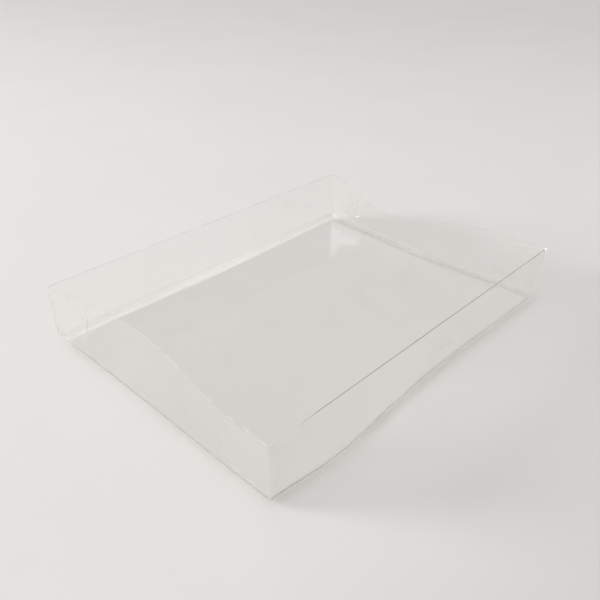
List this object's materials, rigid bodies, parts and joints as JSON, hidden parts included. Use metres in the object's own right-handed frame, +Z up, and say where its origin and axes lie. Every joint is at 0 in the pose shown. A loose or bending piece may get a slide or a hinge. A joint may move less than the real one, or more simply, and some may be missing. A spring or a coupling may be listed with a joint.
{
  "type": "clear plastic box",
  "caption": "Shallow open-topped box folded from a single sheet of clear plastic film, its corner tabs glued inside the end walls, to hold flat goods.",
  "frame": {"origin": "underside of the floor, at the middle of the tray's rim in plan", "axes": "+X along the long walls to the right end wall, +Y from the front long wall to the rear one, +Z up out of the open top"},
  "size_m": [0.23, 0.1725, 0.035],
  "materials": {
    "clear_film": "clear glossy sheet"
  },
  "bodies": {
    "root": {"folded_tray": "clear_film"}
  },
  "joints": []
}
